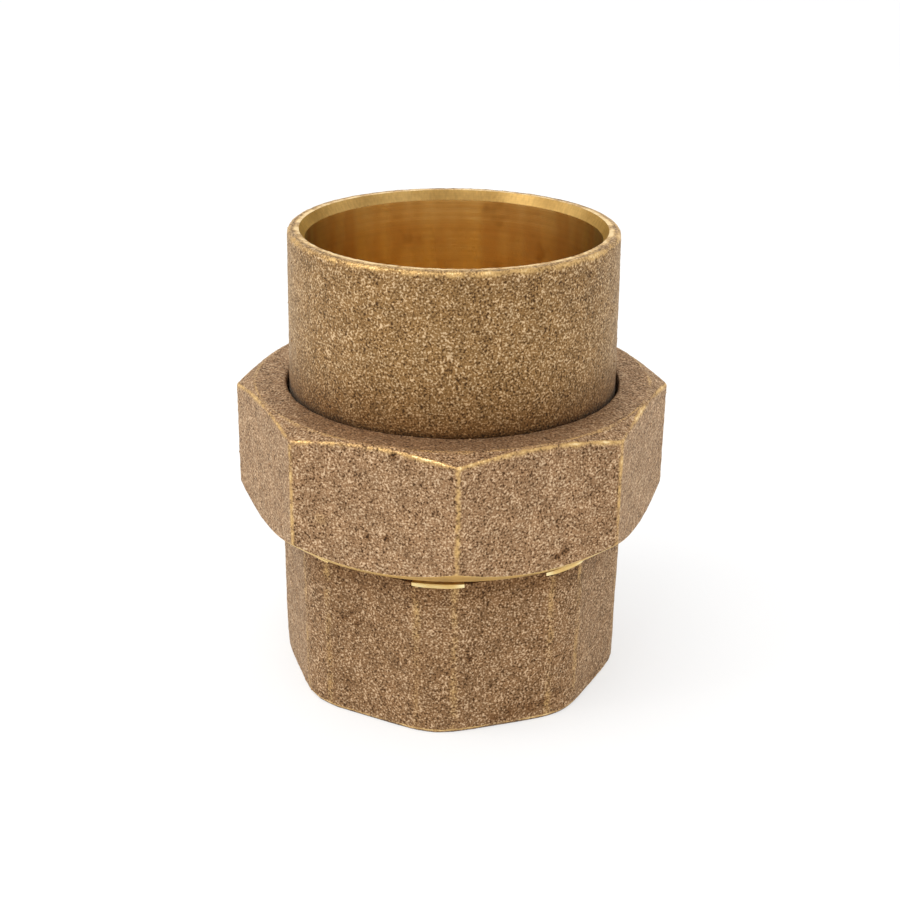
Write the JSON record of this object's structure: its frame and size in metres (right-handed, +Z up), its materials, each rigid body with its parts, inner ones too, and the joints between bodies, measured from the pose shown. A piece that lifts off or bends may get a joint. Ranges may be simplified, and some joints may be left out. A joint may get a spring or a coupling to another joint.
{
  "type": "pipe union",
  "caption": "Cast bronze ground-joint pipe union for copper tube: a solder cup at each end, drawn together by an octagonal nut on a screw thread.",
  "frame": {"origin": "centre of the bottom rim, where the union stands", "axes": "+Z up along the pipe axis, from the threaded end to the cup tailpiece"},
  "size_m": [0.081, 0.081, 0.0869],
  "materials": {
    "threaded_end_bronze": "sand-cast bronze, machined inside",
    "tailpiece_bronze": "sand-cast bronze, machined inside",
    "nut_bronze": "sand-cast bronze with worn edges"
  },
  "bodies": {
    "threaded_end": {"threaded_end": "threaded_end_bronze"},
    "tailpiece": {"cup_tailpiece": "tailpiece_bronze"},
    "nut": {"union_nut": "nut_bronze"}
  },
  "joints": [
    {"name": "tailpiece_lift", "type": "slide", "parent": "threaded_end", "child": "tailpiece", "axis": [0, 0, 1], "range_m": [0, 0.01337]},
    {"name": "nut_turn", "type": "hinge", "parent": "tailpiece", "child": "nut", "pos_m": [0, 0, 0.0457], "axis": [0, 0, 1], "range_deg": [0, 2085]}
  ],
  "couplings": [
    {"joint": "tailpiece_lift", "follows": "nut_turn", "m_per_rad": 0.00036749}
  ]
}
